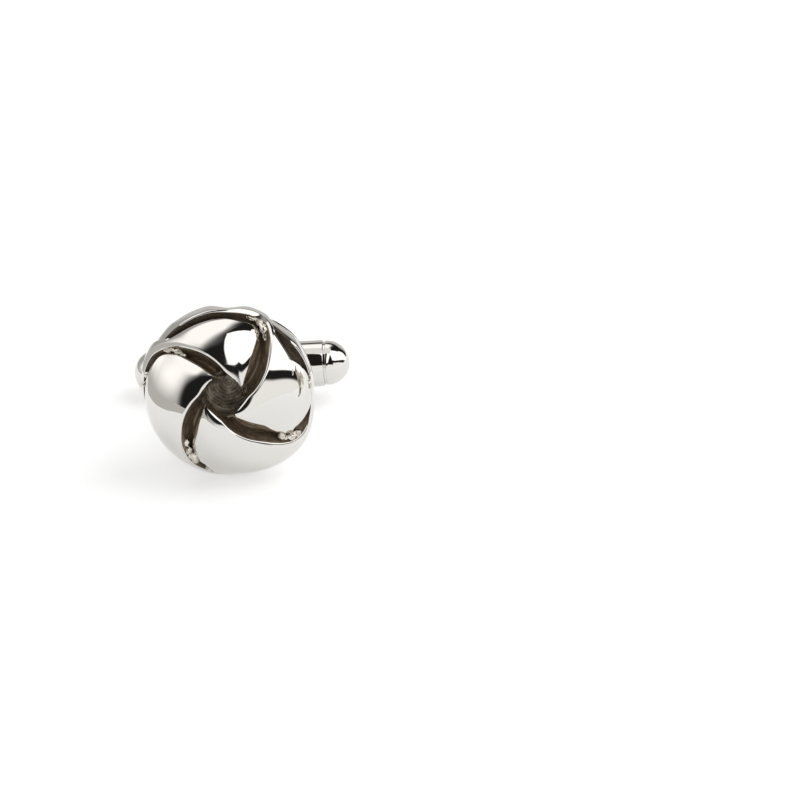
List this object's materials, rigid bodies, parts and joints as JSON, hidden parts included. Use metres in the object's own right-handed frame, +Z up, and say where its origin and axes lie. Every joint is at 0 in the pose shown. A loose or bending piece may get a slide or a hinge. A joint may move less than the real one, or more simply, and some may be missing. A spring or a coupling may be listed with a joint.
{
  "type": "knot cufflink",
  "caption": "Polished metal cufflink: domed knot of curved straps swirling round a small well, forked post and a bullet-shaped swivel toggle, lying on its edge.",
  "frame": {"origin": "middle of the bounding box at the surface that the cufflink lies on", "axes": "+Z up from the surface, -Y towards the side that the knot's face turns to, +X to the right along the toggle as seen from the knot's side"},
  "size_m": [0.0208, 0.0219, 0.0154],
  "materials": {
    "knot_plate": "polished nickel-rhodium plate on cast brass, darkened in the grooves and the well",
    "toggle_plate": "polished plate",
    "post_plate": "polished plate with a faint drawn grain",
    "pin_steel": "burnished pin heads"
  },
  "bodies": {
    "head": {"knot": "knot_plate", "post": "post_plate", "pivot_pin": "pin_steel"},
    "toggle": {"toggle_barrel": "toggle_plate", "toggle_cap_left": "toggle_plate", "toggle_cap_right": "toggle_plate"}
  },
  "joints": [
    {"name": "toggle_swivel", "type": "hinge", "parent": "head", "child": "toggle", "pos_m": [0, 0.00851, 0.00298], "axis": [-0.0802, 0.3212, 0.9436], "range_deg": [-90, 90]}
  ]
}
